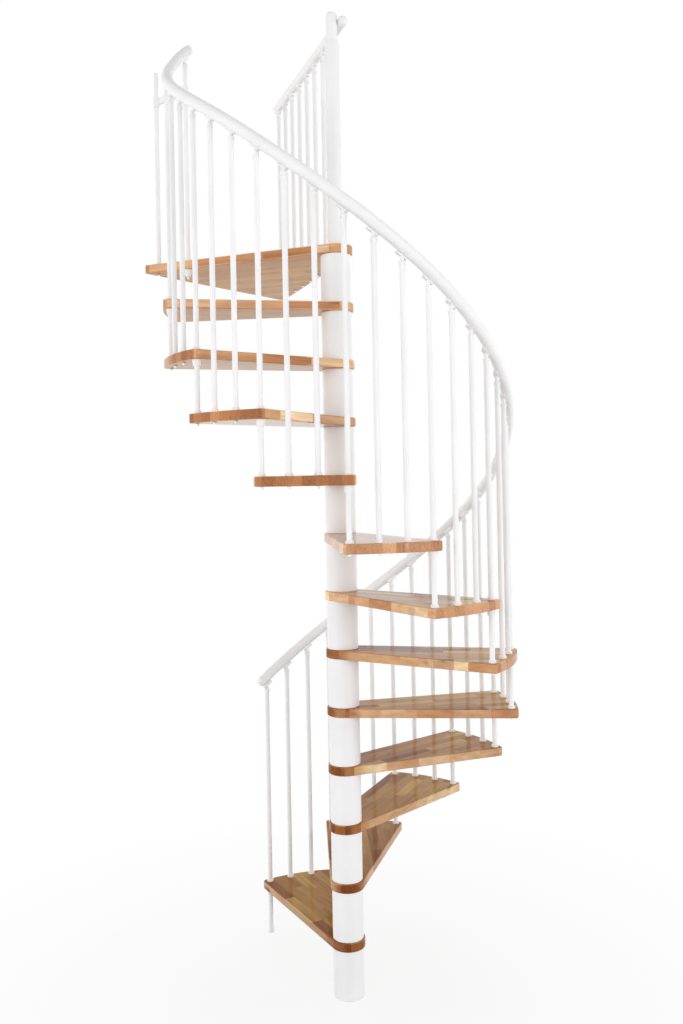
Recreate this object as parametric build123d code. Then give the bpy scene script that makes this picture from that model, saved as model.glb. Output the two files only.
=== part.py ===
from build123d import *
import os
from math import atan2, cos, degrees, hypot, radians, sin, sqrt, tan

# Spiral staircase: wedge treads threaded on a pole between white spacer tubes, a ring of
# balusters under a coiled round handrail, and a wedge landing with its own straight rail.
# Millimetres, +Z up. The origin is on the floor at the column's axis. Angles are measured
# from +X, anticlockwise seen from above, and the stair climbs clockwise.

# Stair as a whole
stair_radius = 700.0
riser = 234.0
tread_count = 12
tread_turn = 26.2
first_tread_rear_angle = 93.7
cut_overrun = 5.0

# Treads and landing
tread_thickness = 36.0
tread_spread = 30.1
tread_nose_radius = 69.0
tread_corner_radius = 16.0
tread_edge_round = 5.0
landing_lead = 47.6
landing_sweep = 56.9
landing_front_extra = 184.0
landing_back_extra = 334.0
landing_corner_radius = 12.0

# Column
spacer_radius = 62.5
spacer_wall = 4.0
spacer_chamfer = 1.5
pole_radius = 22.5
pole_clearance = 0.3
pole_top_round = 12.0
base_plate_thickness = 10.0
post_radius = 30.0
post_top_round = 3.0

# Balusters
baluster_radius = 10.0
baluster_rim_inset = 28.0
baluster_nosing_inset = 24.0
balusters_per_tread = 3
hole_clearance = 0.3
ferrule_radius = 14.5
ferrule_height = 11.0
ferrule_chamfer = 3.0
sleeve_radius = 16.5
sleeve_mouth_radius = 14.0
sleeve_height = 24.0
end_tail = 8.0
foot_radius = 14.0
foot_lip = 4.0
foot_height = 26.0
cap_radius = 12.0
cap_height = 16.0
cap_shoulder = 4.0
neck_radius = 7.5
neck_height = 10.0
saddle_length = 48.0
saddle_width = 18.0
saddle_depth = 10.0
saddle_lip = 4.0
saddle_corner_radius = 6.0
seat_gap = 0.3

# Handrails
rail_radius = 22.0
rail_outset = 12.0
rail_end_outset = -6.0
rail_height = 938.0
rail_landing_height = 905.0
rail_ease_turn = 72.0
rail_ease_lead = 129.0
rail_overhang = 34.0
rail_end_round = 19.0
rail_bend_share = 0.32
rail_piece_count = 4
landing_rail_height = 930.0
landing_rail_overhang = 30.0
landing_rail_far_overhang = 45.0
landing_baluster_count = 8
landing_baluster_spacing = 120.0
landing_first_baluster = 140.0
post_top_drop = 88.0
pole_top_rise = 34.0

# Corner baluster on the landing and its brace
corner_setback = 52.0
corner_inset = 42.0
corner_rise = 129.0
corner_top_round = 8.0
brace_drop = 166.0
brace_rise = 18.0
brace_ring_radius = 13.5
brace_ring_height = 44.0
brace_bar_thickness = 8.0
brace_bar_height = 30.0

upward = (Align.CENTER, Align.CENTER, Align.MIN)
downward = (Align.CENTER, Align.CENTER, Align.MAX)


def polar(radius, angle, height=0):
    return Vector(radius * cos(radians(angle)), radius * sin(radians(angle)), height)


def tread_level(number):
    return riser * number


def to_the_right(direction):
    return Vector(direction.Y, -direction.X, 0)


def touch_point(corner, side):
    """Where a board's edge, drawn from a corner, touches the nose circle on that side."""
    touch_share = (tread_nose_radius / corner.length) ** 2
    return corner * touch_share - to_the_right(corner) * side * sqrt(touch_share - touch_share**2)


def turned_from(first, second):
    """Angle from one horizontal vector to another."""
    return degrees(atan2(first.cross(second).Z, first.dot(second)))


def upright(radius, bottom, top):
    return Pos(0, 0, bottom) * Cylinder(radius, top - bottom, align=upward)


def bore(radius, bottom, top):
    """Cutter for a hole that runs right through."""
    return upright(radius, bottom - cut_overrun, top + cut_overrun)


# Places round the column
landing_level = tread_level(tread_count + 1)
baluster_circle = stair_radius - baluster_rim_inset
first_tread_nose_angle = first_tread_rear_angle + tread_spread
nosing_inset_angle = degrees(baluster_nosing_inset / baluster_circle)
first_baluster_angle = first_tread_nose_angle - nosing_inset_angle
baluster_turn = tread_turn / balusters_per_tread

# Landing's corners, its nosing in front and its side at the back
last_tread_rear_angle = first_tread_rear_angle - tread_turn * (tread_count - 1)
landing_front_angle = last_tread_rear_angle - degrees(landing_lead / stair_radius)
landing_back_angle = landing_front_angle - landing_sweep
landing_front_corner = polar(stair_radius + landing_front_extra, landing_front_angle)
landing_back_corner = polar(stair_radius + landing_back_extra, landing_back_angle)
nosing_touch = touch_point(landing_front_corner, 1)
nosing_length = (landing_front_corner - nosing_touch).length
nosing_direction = (landing_front_corner - nosing_touch).normalized()
side_direction = (landing_back_corner - touch_point(landing_back_corner, -1)).normalized()

# The last baluster goes through the landing behind its nosing, on the same circle as the others.
nosing_on_circle = nosing_touch + nosing_direction * sqrt(baluster_circle**2 - tread_nose_radius**2)
nosing_on_circle_angle = landing_front_angle + turned_from(landing_front_corner, nosing_on_circle)
end_baluster_angle = nosing_on_circle_angle - nosing_inset_angle
end_turn = first_baluster_angle - end_baluster_angle
regular_turns = [baluster_turn * number for number in range(balusters_per_tread * tread_count)]
baluster_turns = regular_turns + [end_turn]


# Course of the coiled rail
def rail_ease(turn):
    """Smooth step from 0 to 1 as the rail nears the landing."""
    eased_turn = end_turn - degrees(rail_ease_lead / baluster_circle)
    ease_share = min(1, max(0, 1 + (turn - eased_turn) / rail_ease_turn))
    return ease_share**2 * (3 - 2 * ease_share)


def rail_rise(turn):
    """Height of the rail's axis: one pitch all the way, a step lower over the last treads."""
    pitch = riser / tread_turn
    start = tread_level(1) + rail_height
    drop = start + pitch * end_turn - landing_level - rail_landing_height
    return start + pitch * turn - drop * rail_ease(turn)


def rail_circle(turn):
    """Radius of the rail's coil, drawn in over the last balusters."""
    return baluster_circle + rail_outset + (rail_end_outset - rail_outset) * rail_ease(turn)


def rail_corner(turn):
    """Corner of the rail's path, outside the coil so that the bends lie on it."""
    corner_circle = rail_circle(turn) / cos(radians(baluster_turn / 2))
    return polar(corner_circle, first_baluster_angle - turn, rail_rise(turn))


overhang_turn = degrees(rail_overhang / baluster_circle)
middle_turns = [(a + b) / 2 for a, b in zip(baluster_turns, baluster_turns[1:])]
rail_path = [rail_corner(turn) for turn in [-overhang_turn] + middle_turns + [end_turn + overhang_turn]]


def rail_seat(number):
    """Point of the rail's axis over a baluster, and the direction of the rail there."""
    start, end = rail_path[number], rail_path[number + 1]
    side = polar(1, first_baluster_angle - baluster_turns[number] + 90)
    along = start.dot(side) / (start.dot(side) - end.dot(side))
    return start + (end - start) * along, (end - start).normalized()


# Baluster pieces
def revolve_profile(points):
    with BuildPart() as piece:
        with BuildSketch(Plane.XZ):
            with BuildLine():
                Polyline(*points, close=True)
            make_face()
        revolve(axis=Axis.Z)
    return piece.part


def ferrule_points(level):
    """Collar that stands on a board, with its upper edge chamfered."""
    return [
        (ferrule_radius, level),
        (ferrule_radius, level + ferrule_height - ferrule_chamfer),
        (ferrule_radius - ferrule_chamfer, level + ferrule_height),
        (baluster_radius, level + ferrule_height),
    ]


def sleeve_points(underside, level):
    """Cup under the board that a baluster passes through, and the tube inside the board."""
    return [
        (baluster_radius, underside - sleeve_height),
        (sleeve_mouth_radius, underside - sleeve_height),
        (sleeve_radius, underside),
        (baluster_radius, underside),
        (baluster_radius, level),
    ]


def floor_foot(level):
    """Flared foot on the floor."""
    lip_top, foot_top = level + foot_lip, level + foot_height
    return [(0, level), (foot_radius, level), (foot_radius, lip_top), (baluster_radius, foot_top)]


def board_foot(level):
    """Collar on a board, with no tube below it."""
    return [(0, level)] + ferrule_points(level)


def tie_points(level):
    """Stretch of a baluster through a board: the cup under it and the collar on it."""
    return sleeve_points(level - tread_thickness, level) + ferrule_points(level)


def end_foot(level):
    """Foot of the last baluster, whose tube runs through the landing and ends just below its cup."""
    bottom = level - tread_thickness - sleeve_height - end_tail
    return [(0, bottom), (baluster_radius, bottom)] + tie_points(level)


def top_points(cap_top, neck_top):
    """Cap with a sloping shoulder, then a thinner neck."""
    return [
        (baluster_radius, cap_top - cap_height),
        (cap_radius, cap_top - cap_height),
        (cap_radius, cap_top - cap_shoulder),
        (neck_radius, cap_top),
        (neck_radius, neck_top),
        (0, neck_top),
    ]


def saddle(direction, seat_point):
    """Short block with rounded ends along the rail's underside."""
    side = Vector(0, 0, 1).cross(direction).normalized()
    plane = Plane(origin=seat_point, x_dir=direction, z_dir=direction.cross(side))
    block = Box(saddle_length, saddle_width, saddle_depth + saddle_lip, align=downward)
    block = fillet(block.edges().filter_by(Axis.Z), saddle_corner_radius)
    return plane * Pos(0, 0, saddle_lip) * block


def baluster(place, foot, axis_point, direction):
    """Tube from the outline of its foot up to the rail."""
    flat_share = sqrt(direction.X**2 + direction.Y**2)
    offset = hypot(axis_point.X - place.X, axis_point.Y - place.Y)
    seat_height = axis_point.Z - sqrt(rail_radius**2 - offset**2) / flat_share
    cap_top = seat_height - saddle_depth / flat_share - neck_height
    points = foot + top_points(cap_top, seat_height - saddle_depth / 2)
    tube = Pos(place.X, place.Y, 0) * revolve_profile(points)
    bed = Cylinder(rail_radius + seat_gap, 2 * saddle_length)
    bed = Plane(origin=axis_point, z_dir=direction) * bed
    return tube + saddle(direction, Vector(place.X, place.Y, seat_height)) - bed


def flight_baluster(number):
    """Baluster of the flight, counted from the foot of the stair."""
    axis_point, direction = rail_seat(number)
    place = polar(baluster_circle, first_baluster_angle - baluster_turns[number])
    tread, position = divmod(number, balusters_per_tread)
    level, next_level = tread_level(tread), tread_level(tread + 1)
    if number == len(regular_turns):
        foot = end_foot(landing_level)
    elif position > 0:
        foot = board_foot(next_level)
    else:
        foot = (floor_foot(level) if tread == 0 else board_foot(level)) + tie_points(next_level)
    return baluster(place, foot, axis_point, direction)


# Boards
def wedge(front_corner, back_corner, corner_radius, arc_radius=None):
    """Flat board round the column: a nose circle, two edges that touch it, and an outer end."""
    front_touch, back_touch = touch_point(front_corner, 1), touch_point(back_corner, -1)
    outward = (front_corner + back_corner).normalized()
    with BuildPart() as board:
        with BuildSketch():
            with BuildLine():
                ThreePointArc(front_touch, outward * -tread_nose_radius, back_touch)
                Line(back_touch, back_corner)
                if arc_radius:
                    ThreePointArc(back_corner, outward * arc_radius, front_corner)
                else:
                    Line(back_corner, front_corner)
                Line(front_corner, front_touch)
            make_face()
        extrude(amount=-tread_thickness)
        uprights = board.edges().filter_by(Axis.Z)
        fillet([edge for edge in uprights if edge.center().length > stair_radius / 2], corner_radius)
        fillet(board.faces().filter_by(Axis.Z).edges(), tread_edge_round)
    return board.part - bore(pole_radius + pole_clearance, -tread_thickness, 0)


tread_front_corner = polar(stair_radius, first_tread_nose_angle)
tread_back_corner = polar(stair_radius, first_tread_rear_angle)
tread_hole_place = polar(baluster_circle, first_baluster_angle)
tie_hole = bore(baluster_radius + hole_clearance, -tread_thickness, 0)
first_tread = wedge(tread_front_corner, tread_back_corner, tread_corner_radius, stair_radius)
first_tread -= Pos(tread_hole_place.X, tread_hole_place.Y, 0) * tie_hole
landing_hole_place = polar(baluster_circle, end_baluster_angle)
landing = wedge(landing_front_corner, landing_back_corner, landing_corner_radius)
landing -= Pos(landing_hole_place.X, landing_hole_place.Y, 0) * tie_hole
landing = Pos(0, 0, landing_level) * landing


def tread_at(number):
    """Tread by number, turned on from the first."""
    return Pos(0, 0, tread_level(number)) * Rot(0, 0, -tread_turn * (number - 1)) * first_tread


# Column
spacer_height = riser - tread_thickness
spacer = upright(spacer_radius, 0, spacer_height)
spacer = chamfer(spacer.edges().filter_by(GeomType.CIRCLE), spacer_chamfer)
spacer -= bore(spacer_radius - spacer_wall, 0, spacer_height)
base_plate = upright(spacer_radius - spacer_wall - pole_clearance, 0, base_plate_thickness)
post_top = landing_level + landing_rail_height - post_top_drop
pole_top = landing_level + landing_rail_height + pole_top_rise
pole = upright(pole_radius, base_plate_thickness, pole_top)
pole = fillet(pole.edges().sort_by(Axis.Z)[-1], pole_top_round)
post = upright(post_radius, landing_level, post_top)
post = fillet(post.edges().sort_by(Axis.Z)[-1], post_top_round)
post -= bore(pole_radius + pole_clearance, landing_level, post_top)


# Coiled handrail
def rail_piece(first, last):
    """Stretch of the coiled rail from one baluster to another, or to a rounded end."""
    at_start, at_end = first == 0, last == len(baluster_turns) - 1
    start = rail_path[0] if at_start else rail_seat(first)[0]
    end = rail_path[-1] if at_end else rail_seat(last)[0]
    points = [start] + rail_path[first + 1 : last + 1] + [end]
    runs = [b - a for a, b in zip(points, points[1:])]
    radii = []
    for before, after in zip(runs, runs[1:]):
        half_turn = radians(before.get_angle(after)) / 2
        radii.append(rail_bend_share * min(before.length, after.length) / tan(half_turn))
    path = FilletPolyline(*points, radius=radii)
    section = Plane(origin=start, z_dir=runs[0]) * Circle(rail_radius)
    tube = sweep(section, path=path)
    for rounded, place in ((at_start, start), (at_end, end)):
        if rounded:
            ends = tube.faces().filter_by(GeomType.PLANE)
            tube = fillet(ends.sort_by_distance(place)[0].edges(), rail_end_round)
    return tube


# Landing rail, beside the pole and over the landing's side
landing_rail_line = to_the_right(side_direction) * (pole_radius + rail_radius + seat_gap)
landing_rail_axis = landing_rail_line + Vector(0, 0, landing_level + landing_rail_height)
landing_last_baluster = landing_first_baluster + landing_baluster_spacing * (landing_baluster_count - 1)
landing_rail_length = landing_rail_overhang + landing_last_baluster + landing_rail_far_overhang
landing_rail = Cylinder(rail_radius, landing_rail_length, align=upward)
landing_rail = fillet(landing_rail.edges().filter_by(GeomType.CIRCLE), rail_end_round)
landing_rail_start = landing_rail_axis - side_direction * landing_rail_overhang
landing_rail = Plane(origin=landing_rail_start, z_dir=side_direction) * landing_rail


def landing_baluster(number):
    along = side_direction * (landing_first_baluster + landing_baluster_spacing * number)
    foot = board_foot(landing_level)
    return baluster(landing_rail_line + along, foot, landing_rail_axis + along, side_direction)


# Corner baluster and brace
corner_along = nosing_direction * (nosing_length - corner_setback)
corner_place = nosing_touch + corner_along + to_the_right(nosing_direction) * corner_inset
end_brace_level = landing_level + rail_landing_height - brace_drop
corner_brace_level = end_brace_level - brace_rise
corner_top = corner_brace_level + corner_rise
corner_points = board_foot(landing_level) + [(baluster_radius, corner_top), (0, corner_top)]
corner_baluster = revolve_profile(corner_points)
corner_baluster = fillet(corner_baluster.edges().sort_by(Axis.Z)[-1], corner_top_round)
corner_baluster = Pos(corner_place.X, corner_place.Y, 0) * corner_baluster


def brace():
    """Flat bar between two clamp rings, from the corner baluster to the last one under the rail."""
    start = corner_place + Vector(0, 0, corner_brace_level)
    end = polar(baluster_circle, end_baluster_angle, end_brace_level)
    along = end - start
    across = Vector(0, 0, 1).cross(along)
    plane = Plane(origin=(start + end) * 0.5, x_dir=along, z_dir=along.cross(across))
    bar = plane * Box(along.length, brace_bar_thickness, brace_bar_height)
    for place in (start, end):
        bar += Pos(*place) * Cylinder(brace_ring_radius, brace_ring_height)
    for place in (start, end):
        hole = Cylinder(baluster_radius + hole_clearance, brace_ring_height + 2 * cut_overrun)
        bar -= Pos(*place) * hole
    return bar


# Nodes
nodes = {"base_plate": base_plate, "centre_pole": pole, "landing_post": post, "landing": landing}
for number in range(1, tread_count + 1):
    nodes[f"tread_{number:02d}"] = tread_at(number)
for number in range(tread_count + 1):
    nodes[f"spacer_{number + 1:02d}"] = Pos(0, 0, tread_level(number)) * spacer
nodes["first_baluster"] = flight_baluster(0)
nodes["end_baluster"] = flight_baluster(len(regular_turns))
for lower in range(1, tread_count, 2):
    first = (lower - 1) * balusters_per_tread + 1
    last = min(first + 2 * balusters_per_tread, len(regular_turns))
    group = [flight_baluster(number) for number in range(first, last)]
    nodes[f"balusters_{lower:02d}_{lower + 1:02d}"] = Compound(children=group)
joints = [round(i * len(regular_turns) / rail_piece_count) for i in range(rail_piece_count + 1)]
for number, (first, last) in enumerate(zip(joints, joints[1:])):
    nodes[f"handrail_{number + 1}"] = rail_piece(first, last)
nodes["landing_rail"] = landing_rail
side_group = [landing_baluster(number) for number in range(landing_baluster_count)]
nodes["landing_balusters"] = Compound(children=side_group)
nodes["corner_baluster"] = corner_baluster
nodes["corner_brace"] = brace()

os.makedirs("parts", exist_ok=True)
for name, shape in nodes.items():
    export_step(shape, f"parts/{name}.step")
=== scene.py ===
import bpy
import bmesh
from math import cos, radians, sin
from mathutils import Matrix, Vector


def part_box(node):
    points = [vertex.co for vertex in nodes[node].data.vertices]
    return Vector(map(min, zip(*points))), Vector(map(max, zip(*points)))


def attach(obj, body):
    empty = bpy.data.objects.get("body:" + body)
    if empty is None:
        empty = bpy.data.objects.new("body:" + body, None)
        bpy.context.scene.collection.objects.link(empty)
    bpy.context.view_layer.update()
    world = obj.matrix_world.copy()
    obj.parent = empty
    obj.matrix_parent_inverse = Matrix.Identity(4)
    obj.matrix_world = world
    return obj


# Spiral staircase in stave wood and white metal. Metres, +Z up, origin on the floor at the column's axis.
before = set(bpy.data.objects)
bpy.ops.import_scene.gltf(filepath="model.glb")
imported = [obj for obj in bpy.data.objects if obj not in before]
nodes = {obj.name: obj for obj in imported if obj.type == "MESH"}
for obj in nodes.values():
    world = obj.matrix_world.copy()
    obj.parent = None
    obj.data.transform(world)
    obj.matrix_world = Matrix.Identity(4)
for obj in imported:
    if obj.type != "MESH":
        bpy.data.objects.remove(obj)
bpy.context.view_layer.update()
print("frame:", len(nodes), "nodes")

# sizes and directions, in degrees, that the cap nuts and the grain follow
stair = {
    "treads": 12,
    "riser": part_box("tread_02")[1].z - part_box("tread_01")[1].z,
    "turn": 26.2,  # from tread to tread
    "thickness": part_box("tread_01")[1].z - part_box("tread_01")[0].z,
    "noseRadius": 0.069,
    "firstNosing": 118.1,
    "landingNosing": 157.1,
    "balusterCircle": 0.672,
    "firstBaluster": 121.754,
    "balustersPerTread": 3,
    "endBaluster": 160.975,
    "landingSide": 108.53,  # direction of its side rail
    "sideOffset": 0.0448,  # side balusters beside the column's axis
    "sideStart": 0.140,  # the first of them from the axis
    "sidePitch": 0.120,
    "sideBalusters": 8,
}


def tone(red, green, blue):
    # colour picked on a screen, made linear
    def linear(level):
        share = level / 255
        return share / 12.92 if share <= 0.04045 else ((share + 0.055) / 1.055) ** 2.4

    return (linear(red), linear(green), linear(blue), 1.0)


def around(radius, angle, height):
    return Vector((radius * cos(radians(angle)), radius * sin(radians(angle)), height))


class Wire:
    # one socket of a material; a sum or product of wires adds its Math node
    def __init__(self, tree, socket=None):
        self.tree, self.socket = tree, socket

    def node(self, kind, settings=None, values=None, out=0):
        made = self.tree.nodes.new("ShaderNode" + kind)
        for key, value in (settings or {}).items():
            if key == "stops":
                ramp = made.color_ramp.elements
                while len(ramp) < len(value):
                    ramp.new(1.0)
                for element, (position, colour) in zip(ramp, value):
                    element.position, element.color = position, colour
            else:
                setattr(made, key, value)
        for key, value in (values or {}).items():
            if isinstance(value, Wire):
                self.tree.links.new(value.socket, made.inputs[key])
            else:
                made.inputs[key].default_value = value
        return Wire(self.tree, made.outputs[out])

    def other(self, name):
        # another output of the same node
        return Wire(self.tree, self.socket.node.outputs[name])

    def maths(self, operation, *values):
        return self.node("Math", {"operation": operation}, dict(enumerate(values)))

    def __add__(self, value):
        return self.maths("ADD", self, value)

    def __radd__(self, value):
        return self.maths("ADD", value, self)

    def __sub__(self, value):
        return self.maths("SUBTRACT", self, value)

    def __rsub__(self, value):
        return self.maths("SUBTRACT", value, self)

    def __mul__(self, value):
        return self.maths("MULTIPLY", self, value)

    def __rmul__(self, value):
        return self.maths("MULTIPLY", value, self)

    def __truediv__(self, value):
        return self.maths("DIVIDE", self, value)

    def __rtruediv__(self, value):
        return self.maths("DIVIDE", value, self)

    def ease(self, low, high):
        # 0 below low, 1 above high, smooth between
        values = {"Value": self, "From Min": low, "From Max": high}
        return self.node("MapRange", {"interpolation_type": "SMOOTHSTEP"}, values)

    def stretch(self, scale):
        return self.node("VectorMath", {"operation": "MULTIPLY"}, {0: self, 1: scale})

    def noise(self, scale, detail=2.0, roughness=0.5):
        values = {"Vector": self, "Scale": scale, "Detail": detail, "Roughness": roughness}
        return self.node("TexNoise", {}, values)

    def bands(self, count):
        # light and dark in turn, from 0 to 1
        return self.maths("SINE", self * count) * 0.5 + 0.5

    def blend(self, first, second, kind="MIX"):
        # this wire is the share of the second colour
        settings = {"data_type": "RGBA", "blend_type": kind}
        return self.node("Mix", settings, {0: self, 6: first, 7: second}, 2)

    def dim(self, value):
        # this wire's colour, lighter or darker
        return self.node("HueSaturation", {}, {"Color": self, "Value": value})

    def bump(self, strength, distance):
        # this wire is the height
        return self.node("Bump", {}, {"Strength": strength, "Distance": distance, "Height": self})


def newMaterial(name):
    material = bpy.data.materials.new(name)
    material.use_nodes = True
    tree = material.node_tree
    shader = tree.nodes["Principled BSDF"]
    return material, Wire(tree), shader


def plug(shader, values):
    # links a wire, or sets a number on the shader's own socket
    for key, value in values.items():
        if isinstance(value, Wire):
            value.tree.links.new(value.socket, shader.inputs[key])
        else:
            shader.inputs[key].default_value = value


# boards glued up from short blocks of wood, in rows along the nosing
staves = {
    "width": 0.046,
    "blockLength": 0.27,
    "blockUneven": 0.85,  # at 0 all blocks are equally long
    "rowShift": 40,  # a row starts anywhere in so many block lengths
    "rowDraw": 17.31,  # steps from one board's draws to the next one's
    "blockDraw": 3.7,
    "glueLine": 0.0006,
}


def layStaves(start, along, across, seed):
    # the three chances of each block, and the glue lines round it
    rowPlace = (stair["noseRadius"] - across) / staves["width"]
    row = start.maths("FLOOR", rowPlace)
    rowValues = {"W": row + staves["rowDraw"] * seed}
    rowChance = start.node("TexWhiteNoise", {"noise_dimensions": "1D"}, rowValues, "Value")
    rowStart = rowChance * staves["rowShift"]
    blockPlace = along / staves["blockLength"] + rowStart + staves["blockDraw"] * seed
    blockValues = {"W": blockPlace, "Scale": 1.0, "Randomness": staves["blockUneven"]}
    inLine = {"voronoi_dimensions": "1D"}
    block = start.node("TexVoronoi", inLine, blockValues, "Color")
    edge = start.node("TexVoronoi", {**inLine, "feature": "DISTANCE_TO_EDGE"}, blockValues, "Distance")
    chance = start.node("SeparateColor", {}, {0: block}, "Red")
    fromSide = 0.5 - start.maths("ABSOLUTE", rowPlace - row - 0.5)
    sideLine = 1 - fromSide.ease(0.0, staves["glueLine"] / staves["width"])
    endLine = 1 - edge.ease(0.0, staves["glueLine"] / staves["blockLength"])
    return chance, start.maths("MAXIMUM", sideLine, endLine)


# colours of the blocks, and how the faces of a board differ, with painted shade on the tops and undersides
wood = {
    "tones": [
        (0.00, tone(172, 118, 82)),
        (0.20, tone(190, 140, 101)),
        (0.45, tone(203, 160, 121)),
        (0.65, tone(212, 175, 139)),
        (0.82, tone(224, 192, 152)),
        (1.00, tone(236, 208, 166)),
    ],
    "paintedStairShades": (0.79, 1.23),  # painted shade: darker down the stair, the lowest board is the darkest one, the landing the palest
    "broadFace": (0.6, 0.95),  # a normal's rise or fall from the edges to the broad faces
    "paintedTopShades": (tone(214, 194, 132), tone(246, 232, 172)),  # painted shade on the tops, the lowest top the darkest
    "paintedUnderShade": tone(216, 187, 87),  # painted shade on the undersides: the broad faces there darker and deeper in colour than the edges
    "underTone": tone(206, 165, 128),  # the blocks of the undersides differ little from this
    "underEven": 0.65,
    "glueTone": tone(70, 40, 22),
    "glueShare": 0.2,
}


def upTheStair(lowest, highest, seed):
    # a board's value between the lowest tread's and the landing's, used for the painted shade up the stair
    return lowest + (highest - lowest) * (seed - 1) / stair["treads"]


def faceMasks(start, normal):
    upward = start.node("SeparateXYZ", {}, {0: normal}, "Z")
    above = upward.ease(*wood["broadFace"])
    below = (0 - upward).ease(*wood["broadFace"])
    return above, below, 1 - above - below


def blockColour(start, chance, above, below, seed):
    paintedTopShade = tuple(upTheStair(*levels, seed) for levels in zip(*wood["paintedTopShades"]))
    colour = start.node("ValToRGB", {"stops": wood["tones"]}, {0: chance}, "Color")
    # painted shade on the tops
    colour = above.blend(colour, paintedTopShade, "MULTIPLY")
    colour = (below * wood["underEven"]).blend(colour, wood["underTone"])
    # painted shade on the undersides
    return below.blend(colour, wood["paintedUnderShade"], "MULTIPLY")


# grain as noise: stretch along the stave, across and down, detail, roughness
grain = {
    "rings": ((1.5, 11, 11), 1.5, 0.5),
    "fibre": ((9, 210, 210), 4.0, 0.62),
    "pores": ((34, 900, 900), 1.0, 0.5),
    "cloud": ((5, 14, 14), 2.0, 0.5),
    "streak": ((3, 60, 60), 3.0, 0.6),
    "heart": ((4, 26, 26), 2.0, 0.5),
    "speck": ((60, 170, 45), 3.0, 0.6),
    "arcs": ((1, 40, 40), 1.0, 0.5),
    "logReach": (9, 5, 7),  # every block is cut from another place of the log
    "ringCount": 46,
    "arcCount": 60,
    "poreRange": (0.60, 0.72),
}

# what the grain adds to a block's shade
shading = {
    "base": 0.80,
    "rings": 0.15,
    "fibre": 0.36,
    "pores": 0.10,
    "clouds": 0.42,
    "fewerOnSides": 0.22,
    "streaks": 0.50,
    "fewerBelow": 0.28,  # the undersides are calmer
}


def cutFromLog(start, board, chance):
    chances = (chance, chance.other("Green"), chance.other("Blue"))
    steps = [share * reach for share, reach in zip(chances, grain["logReach"])]
    shift = start.node("CombineXYZ", {}, dict(enumerate(steps)))
    return start.node("VectorMath", {"operation": "ADD"}, {0: board, 1: shift})


def grow(cut, name):
    stretch, detail, roughness = grain[name]
    return cut.stretch(stretch).noise(1.0, detail, roughness)


def shadeGrain(cut, fibre, pores, streak, below, sides):
    rings = grow(cut, "rings").bands(grain["ringCount"])
    streaks = (streak - 0.5) * (shading["streaks"] - below * shading["fewerBelow"])
    clouds = (grow(cut, "cloud") - 0.5) * (shading["clouds"] - sides * shading["fewerOnSides"])
    lines = rings * shading["rings"] + fibre * shading["fibre"] - pores * shading["pores"]
    return shading["base"] + lines + clouds + streaks


# brown heartwood: a few blocks are full of it, others have a soft streak
heartwood = {
    "tint": tone(186, 147, 106),
    "onSides": 0.3,  # share of it that shows on the edges and undersides
    "fullBlocks": (0.82, 0.84),
    "fullLeast": 0.55,
    "fullRange": (0.3, 0.6),
    "softBlocks": (0.4, 0.9),
    "softRange": (0.44, 0.66),
    "softShare": 0.42,
}


def addHeartwood(colour, cut, chance, above, below):
    figure = grow(cut, "heart")
    least = heartwood["fullLeast"]
    uneven = least + (1 - least) * figure.ease(*heartwood["fullRange"])
    full = chance.other("Green").ease(*heartwood["fullBlocks"]) * uneven
    streaked = figure.ease(*heartwood["softRange"]) * heartwood["softShare"]
    soft = chance.other("Blue").ease(*heartwood["softBlocks"]) * streaked
    shown = heartwood["onSides"] + above * (1 - heartwood["onSides"])
    heart = cut.maths("MAXIMUM", full, soft) * shown * (1 - below * wood["underEven"])
    return heart.blend(colour, heartwood["tint"], "MULTIPLY")


# a few dark knots, one at most in each cell
knots = {
    "tone": tone(70, 38, 20),
    "share": 0.75,
    "cell": (6, 17, 17),
    "chosen": (0.84, 0.87),
    "edge": (0.12, 0.40),
    "wobble": 0.2,
}


def addKnots(colour, cut, streak):
    cell = cut.node("TexVoronoi", {}, {"Vector": cut.stretch(knots["cell"]), "Scale": 1.0}, "Distance")
    chosen = cut.node("SeparateColor", {}, {0: cell.other("Color")}, "Red").ease(*knots["chosen"])
    knot = (1 - (cell + streak * knots["wobble"]).ease(*knots["edge"])) * chosen
    return (knot * knots["share"]).blend(colour, knots["tone"])


# end grain on the outer end and round the column, with painted light and shade
endGrain = {
    "facing": (0.55, 0.92),  # how far a face turns from the side of the grain to its end
    "share": 0.92,
    "rimTone": tone(165, 108, 71),
    # paler end grain as painted light, on the rims that face the light and round the column on the upper
    # boards
    "paintedLitEndTone": tone(191, 140, 105),
    "paintedLitRims": (6, 7, 8),  # painted light: boards whose rims face the light
    # darker end grain round the column on the lower boards: partly the end grain's own colour, partly
    # painted shade
    "noseGrainPaintedTone": tone(140, 80, 38),
    "paintedNoseShade": tone(222, 202, 182),  # painted shade on the side grain round the column
    "noseReach": (0.072, 0.11),  # where that ends, from the column's axis
    "paintedNoseShadeBelow": 7,  # boards from here up get no painted shade round the column, and are as pale there as elsewhere
    "base": 0.25,
    "arcs": 0.24,
    "speck": 0.70,
    "chance": 0.50,
}


def endMask(start, normal, nosing):
    lengthways = around(1, nosing, 0)
    values = {0: normal, 1: lengthways}
    facing = start.node("VectorMath", {"operation": "DOT_PRODUCT"}, values, "Value")
    return start.maths("ABSOLUTE", facing).ease(*endGrain["facing"])


def pastNose(start, along, across):
    flat = start.node("CombineXYZ", {}, {0: along, 1: across})
    reach = start.node("VectorMath", {"operation": "LENGTH"}, {0: flat}, "Value")
    return reach.ease(*endGrain["noseReach"])


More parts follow.
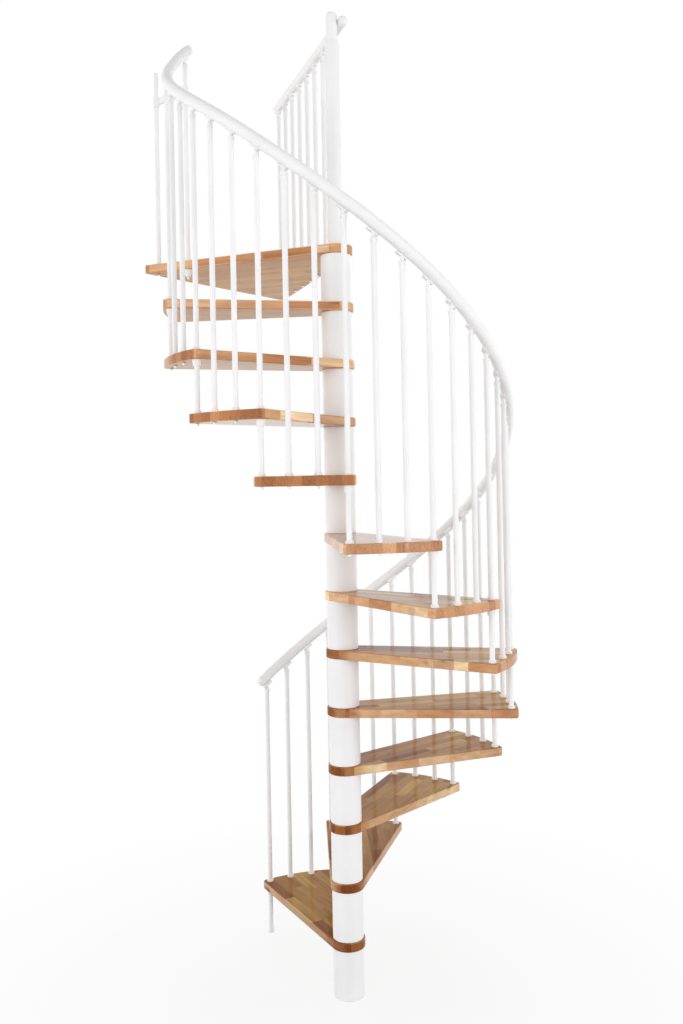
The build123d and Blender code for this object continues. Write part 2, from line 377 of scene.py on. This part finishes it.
def endColour(cut, chance, outside, paintedStairShade, seed):
    arcs = grow(cut, "arcs").bands(grain["arcCount"]) * endGrain["arcs"]
    specks = grow(cut, "speck") * endGrain["speck"]
    # the end grain takes the painted shade down the stair too
    shade = (endGrain["base"] + arcs + specks + chance * endGrain["chance"]) * paintedStairShade
    # painted light on the rims that face it, painted shade round the column on the lower boards
    rimTone = endGrain["paintedLitEndTone"] if seed in endGrain["paintedLitRims"] else endGrain["rimTone"]
    noseGrainPaintedTone = endGrain["noseGrainPaintedTone"] if seed < endGrain["paintedNoseShadeBelow"] else endGrain["paintedLitEndTone"]
    return outside.blend(noseGrainPaintedTone, rimTone).dim(shade)


# clear lacquer over all of it
lacquer = {
    "coat": 1.0,
    "coatIor": 1.17,
    "coatRoughness": 0.12,
    "roughness": 0.45,
    "fibreRoughness": 0.10,
    "endRoughness": 0.12,
    "bump": 0.12,
    "bumpDepth": 0.0006,
    "fibreHeight": 0.5,
    "glueDepth": 0.6,
    "poreDepth": 0.3,
}


def paintWood(name, nosing, seed):
    material, start, shader = newMaterial(name)
    # painted shade: each board darker the lower it stands
    paintedStairShade = upTheStair(*wood["paintedStairShades"], seed)
    place = start.node("TexCoord", out="Object")
    normal = place.other("Normal")
    board = start.node("Mapping", {}, {"Vector": place, "Rotation": (0, 0, -radians(nosing))})
    along = start.node("SeparateXYZ", {}, {0: board}, "X")
    across = along.other("Y")
    chance, glue = layStaves(start, along, across, seed)
    above, below, sides = faceMasks(start, normal)
    cut = cutFromLog(start, board, chance)
    fibre, streak = grow(cut, "fibre"), grow(cut, "streak")
    pores = grow(cut, "pores").ease(*grain["poreRange"])

    colour = blockColour(start, chance, above, below, seed)
    colour = addHeartwood(colour, cut, chance, above, below)
    # the grain's shade, times the painted shade down the stair
    colour = colour.dim(shadeGrain(cut, fibre, pores, streak, below, sides) * paintedStairShade)
    colour = addKnots(colour, cut, streak)
    outside = pastNose(start, along, across)
    # painted shade round the column on the lower boards
    if seed < endGrain["paintedNoseShadeBelow"]:
        colour = ((1 - outside) * sides).blend(colour, endGrain["paintedNoseShade"], "MULTIPLY")
    ends = endMask(start, normal, nosing)
    colour = (ends * endGrain["share"]).blend(colour, endColour(cut, chance, outside, paintedStairShade, seed))
    colour = (glue * wood["glueShare"]).blend(colour, wood["glueTone"])

    height = fibre * lacquer["fibreHeight"] - glue * lacquer["glueDepth"] - pores * lacquer["poreDepth"]
    uneven = fibre * lacquer["fibreRoughness"] + ends * lacquer["endRoughness"]
    plug(shader, {
        "Base Color": colour,
        "Roughness": lacquer["roughness"] + uneven,
        "Specular IOR Level": 0.0,
        "Coat Weight": lacquer["coat"],
        "Coat IOR": lacquer["coatIor"],
        "Coat Roughness": lacquer["coatRoughness"],
        "Normal": height.bump(lacquer["bump"], lacquer["bumpDepth"]),
    })
    return material


# satin powder coat on the tubes
metal = {
    "light": tone(235, 235, 236),
    "dark": tone(231, 231, 232),
    "cloudNoise": (6.0, 3.0),  # scale, detail
    "cloudRange": (0.35, 0.65),
    "peelNoise": (420.0, 2.0),
    "roughness": 0.36,
    "cloudRoughness": 0.10,
    "peelRoughness": 0.04,
    "gloss": 0.4,
    "bump": 0.06,
    "bumpDepth": 0.0004,
}


def paintMetal():
    material, start, shader = newMaterial("satinWhite")
    place = start.node("TexCoord", out="Object")
    cloud = place.noise(*metal["cloudNoise"])
    peel = place.noise(*metal["peelNoise"])
    uneven = cloud * metal["cloudRoughness"] + peel * metal["peelRoughness"]
    plug(shader, {
        "Base Color": cloud.ease(*metal["cloudRange"]).blend(metal["dark"], metal["light"]),
        "Roughness": metal["roughness"] + uneven,
        "Specular IOR Level": metal["gloss"],
        "Normal": peel.bump(metal["bump"], metal["bumpDepth"]),
    })
    return material


# the rails' smooth white skin, shinier in patches where hands slide
rail = {
    "light": tone(234, 234, 235),
    "dark": tone(230, 230, 231),
    "wornNoise": (9.0, 4.0, 0.6),  # scale, detail, roughness
    "wornRange": (0.3, 0.7),
    "skinNoise": (900.0, 1.0),
    "roughness": 0.46,
    "wornShine": 0.16,
    "gloss": 0.4,
    "bump": 0.05,
    "bumpDepth": 0.0003,
}


def paintRail():
    material, start, shader = newMaterial("railWhite")
    place = start.node("TexCoord", out="Object")
    worn = place.noise(*rail["wornNoise"])
    skin = place.noise(*rail["skinNoise"])
    plug(shader, {
        "Base Color": worn.ease(*rail["wornRange"]).blend(rail["dark"], rail["light"]),
        "Roughness": rail["roughness"] - worn * rail["wornShine"],
        "Specular IOR Level": rail["gloss"],
        "Normal": skin.bump(rail["bump"], rail["bumpDepth"]),
    })
    return material


# polished cap nuts on dull zinc washers
polish = {"light": tone(248, 248, 249), "dark": tone(238, 239, 240), "roughness": 0.08}
zinc = {"light": tone(160, 162, 165), "dark": tone(132, 134, 138), "roughness": 0.30}
scuffs = {
    "noise": (260.0, 3.0, 0.6),
    "range": (0.35, 0.65),
    "roughness": 0.12,
    "bump": 0.08,
    "bumpDepth": 0.0002,
}


def paintSteel(name, finish):
    material, start, shader = newMaterial(name)
    place = start.node("TexCoord", out="Object")
    scuff = place.noise(*scuffs["noise"])
    plug(shader, {
        "Base Color": scuff.ease(*scuffs["range"]).blend(finish["dark"], finish["light"]),
        "Metallic": 1.0,
        "Roughness": finish["roughness"] + scuff * scuffs["roughness"],
        "Normal": scuff.bump(scuffs["bump"], scuffs["bumpDepth"]),
    })
    return material


def dress(name, material):
    piece = nodes[name]
    piece.data.materials.clear()
    piece.data.materials.append(material)


metalWhite, railWhite = paintMetal(), paintRail()
brightSteel, dullZinc = paintSteel("brightSteel", polish), paintSteel("dullZinc", zinc)
for number in range(1, stair["treads"] + 1):
    nosing = stair["firstNosing"] - stair["turn"] * (number - 1)
    dress(f"tread_{number:02d}", paintWood(f"staveWood{number:02d}", nosing, number))
dress("landing", paintWood("staveWoodLanding", stair["landingNosing"], stair["treads"] + 1))
for name in nodes:
    if "handrail" in name or name == "landing_rail":
        dress(name, railWhite)
    elif "tread" not in name and name != "landing":
        dress(name, metalWhite)
print("materials:", len(bpy.data.materials))


# cap nuts on washers, which hold the balusters from under the boards
capNut = {
    "roundSides": 24,
    "hexSides": 6,
    "washer": (0.0078, 0.0011),  # radius, height
    "hexagon": (0.0066, 0.0042),
    "dome": (0.0055, 0.0044),
    "rim": 0.0004,
    "rimShare": 0.94,
    "domeShares": [(1.0, 0.30), (0.92, 0.55), (0.76, 0.78), (0.50, 0.94), (0.20, 1.0)],  # radius, height
    "downward": -0.9,  # a normal that falls below this looks straight down
    "smoothAngle": 40,  # edges sharper than this stay crisp
    "slot": "white_metal",
}


def pickLowerFace(piece):
    # in edit mode, leaves only the face that looks straight down selected
    bpy.ops.mesh.select_all(action="DESELECT")
    mesh = bmesh.from_edit_mesh(piece.data)
    for face in mesh.faces:
        if face.normal.z < capNut["downward"]:
            face.select_set(True)
    bmesh.update_edit_mesh(piece.data)


def startPiece(name, sides, radius, top, depth):
    # a disc that hangs from the given height, in edit mode, with its lower face selected
    bpy.ops.object.select_all(action="DESELECT")
    middle = (0, 0, top - depth / 2)
    bpy.ops.mesh.primitive_cylinder_add(vertices=sides, radius=radius, depth=depth, location=middle)
    bpy.ops.object.transform_apply(location=True, rotation=True, scale=True)
    piece = bpy.context.object
    piece.name = name
    bpy.ops.object.mode_set(mode="EDIT")
    pickLowerFace(piece)
    return piece


def drawDown(step, narrowing):
    # extrudes the selected face downwards and scales it about the axis
    bpy.ops.mesh.extrude_region_move(TRANSFORM_OT_translate={"value": (0, 0, -step)})
    bpy.ops.transform.resize(value=(narrowing, narrowing, 1), center_override=(0, 0, 0))


def endPiece(piece, finish):
    # back to object mode, smooth, in its finish
    bpy.ops.object.mode_set(mode="OBJECT")
    bpy.ops.object.shade_smooth_by_angle(angle=radians(capNut["smoothAngle"]))
    piece.data.materials.append(finish)


def modelDisc(name, sides, top, finish):
    # a washer or hexagon with its lower rim broken, and the height where it ends
    radius, height = capNut[name]
    piece = startPiece(name, sides, radius, top, height - capNut["rim"])
    drawDown(capNut["rim"], capNut["rimShare"])
    endPiece(piece, finish)
    return piece, top - height


def modelDome(top, finish):
    radius, height = capNut["dome"]
    shares = capNut["domeShares"]
    piece = startPiece("dome", capNut["roundSides"], radius, top, shares[0][1] * height)
    for (wide, high), (nextWide, nextHigh) in zip(shares, shares[1:]):
        drawDown((nextHigh - high) * height, nextWide / wide)
    endPiece(piece, finish)
    return piece


def modelCapNut():
    washer, top = modelDisc("washer", capNut["roundSides"], 0, dullZinc)
    hexagon, top = modelDisc("hexagon", capNut["hexSides"], top, brightSteel)
    dome = modelDome(top, brightSteel)
    for piece in (washer, hexagon, dome):
        piece.select_set(True)
    bpy.ops.object.join()
    return bpy.context.object


def copyTo(master, name, places):
    # copies of a piece, each with its own mesh, joined as one
    bpy.ops.object.select_all(action="DESELECT")
    for place in places:
        copy = master.copy()
        copy.data = master.data.copy()
        bpy.context.collection.objects.link(copy)
        copy.location = place
        copy.select_set(True)
        bpy.context.view_layer.objects.active = copy
    bpy.ops.object.transform_apply(location=True, rotation=True, scale=True)
    bpy.ops.object.join()
    piece = bpy.context.object
    piece.name = piece.data.name = name
    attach(piece, "root")


def underBoard(number):
    return stair["riser"] * number - stair["thickness"]


def treadPlaces(number):
    # the two balusters in the middle of a tread, and the foot of the one that ties it to the next tread
    places = []
    last = stair["balustersPerTread"] - (number == stair["treads"])
    for step in range(1, last + 1):
        turned = number - 1 + step / stair["balustersPerTread"]
        angle = stair["firstBaluster"] - stair["turn"] * turned
        places.append(around(stair["balusterCircle"], angle, underBoard(number)))
    return places


def landingPlaces():
    # the row along the landing's side, and the baluster at its outer corner
    level = underBoard(stair["treads"] + 1)
    along = around(1, stair["landingSide"], 0)
    beside = around(stair["sideOffset"], stair["landingSide"] - 90, level)
    places = []
    for number in range(stair["sideBalusters"]):
        places.append(along * (stair["sideStart"] + stair["sidePitch"] * number) + beside)
    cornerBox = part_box("corner_baluster")
    corner = (cornerBox[0] + cornerBox[1]) / 2
    corner.z = level
    return places + [corner]


master = modelCapNut()
for number in range(1, stair["treads"] + 1):
    copyTo(master, f"treadNuts{number:02d}", treadPlaces(number))
copyTo(master, "landingNuts", landingPlaces())
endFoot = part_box("end_baluster")[0].z
copyTo(master, "endNut", [around(stair["balusterCircle"], stair["endBaluster"], endFoot)])
bpy.data.objects.remove(master)
print("cap nuts under", stair["treads"] + 1, "boards")


# white floor and light all round, strongest from the front
light = {
    "ambient": 0.50,
    "white": (1, 1, 1, 1),
    "floorTone": tone(206, 206, 206),
    "floorRoughness": 0.9,
    "floorShadow": 0.14,  # share of the floor that still shows shade, near the stair
    "shadowReach": 2.6,
    "floorSize": 60.0,
    "boxSize": (5.5, 3.8),
    "boxHeight": 2.7,
    "boxReach": 8.5,
    "boxes": {-124: 250, -56: 250, 4: 245, 58: 215, 122: 215, 176: 220},  # direction from the stair: power
}


def seenDirectly(start):
    path = start.node("LightPath", out="Is Camera Ray")
    shiny = start.maths("MAXIMUM", path.other("Is Glossy Ray"), path.other("Is Transmission Ray"))
    return start.maths("MAXIMUM", path, shiny)


def makeWorld():
    world = bpy.data.worlds.new("whiteRoom")
    bpy.context.scene.world = world
    world.use_nodes = True
    start = Wire(world.node_tree)
    background = world.node_tree.nodes["Background"]
    strength = light["ambient"] + seenDirectly(start) * (1 - light["ambient"])
    plug(background, {"Color": light["white"], "Strength": strength})


def makeFloor():
    bpy.ops.object.select_all(action="DESELECT")
    bpy.ops.mesh.primitive_plane_add(size=light["floorSize"])
    floor = bpy.context.object
    floor.name = "floor"
    material, start, shader = newMaterial("paleFloor")
    plug(shader, {
        "Base Color": light["floorTone"],
        "Roughness": light["floorRoughness"],
        "Specular IOR Level": 0.0,
    })
    glow = start.node("Emission", {}, {"Color": light["white"], "Strength": 1.0})  # 1 is white
    lit = Wire(start.tree, shader.outputs[0])
    place = start.node("TexCoord", out="Object")
    reach = start.node("VectorMath", {"operation": "LENGTH"}, {0: place}, "Value")
    shown = (1 - reach.ease(0, light["shadowReach"])) * light["floorShadow"]
    share = seenDirectly(start) * (1 - shown)
    mixed = start.node("MixShader", {}, {0: share, 1: lit, 2: glow})
    start.tree.links.new(mixed.socket, start.tree.nodes["Material Output"].inputs["Surface"])
    floor.data.materials.append(material)


def makeLights():
    for number, (direction, power) in enumerate(light["boxes"].items()):
        place = around(light["boxReach"], direction, light["boxHeight"])
        bpy.ops.object.light_add(type="AREA", location=place)
        lamp = bpy.context.object
        lamp.name = f"softbox{number + 1}"
        lamp.data.shape = "RECTANGLE"
        lamp.data.size, lamp.data.size_y = light["boxSize"]
        lamp.data.energy = power
        lamp.rotation_euler = around(-1, direction, 0).to_track_quat("-Z", "Y").to_euler()
        lamp.visible_camera = False
        lamp.visible_glossy = False  # the lacquer mirrors the white room, not the lamps


makeWorld()
makeFloor()
makeLights()
print("light: world and", len(light["boxes"]), "softboxes")

# camera as the photograph was taken: level with the middle of the stair, a touch of roll, in radians
camera = {
    "place": (-0.0229, -4.0282, 2.0937),
    "yaw": 0.0076,
    "pitch": 0.0115,
    "roll": -0.0189,
    "lens": 34.67,
    "shiftY": -0.0438,
}


def makeCamera():
    bpy.ops.object.camera_add()
    eye = bpy.context.object
    yaw, pitch, roll = camera["yaw"], camera["pitch"], camera["roll"]
    forward = Vector((sin(yaw) * cos(pitch), cos(yaw) * cos(pitch), sin(pitch)))
    level = Vector((cos(yaw), -sin(yaw), 0))
    upright = level.cross(forward)
    right = level * cos(roll) + upright * sin(roll)
    up = upright * cos(roll) - level * sin(roll)
    turn = Matrix((right, up, -forward)).transposed()
    eye.matrix_world = Matrix.Translation(camera["place"]) @ turn.to_4x4()
    eye.data.lens = camera["lens"]
    eye.data.shift_y = camera["shiftY"]
    bpy.context.scene.camera = eye


makeCamera()
bpy.context.scene.view_settings.view_transform = "Standard"
print("camera:", camera["lens"], "mm")
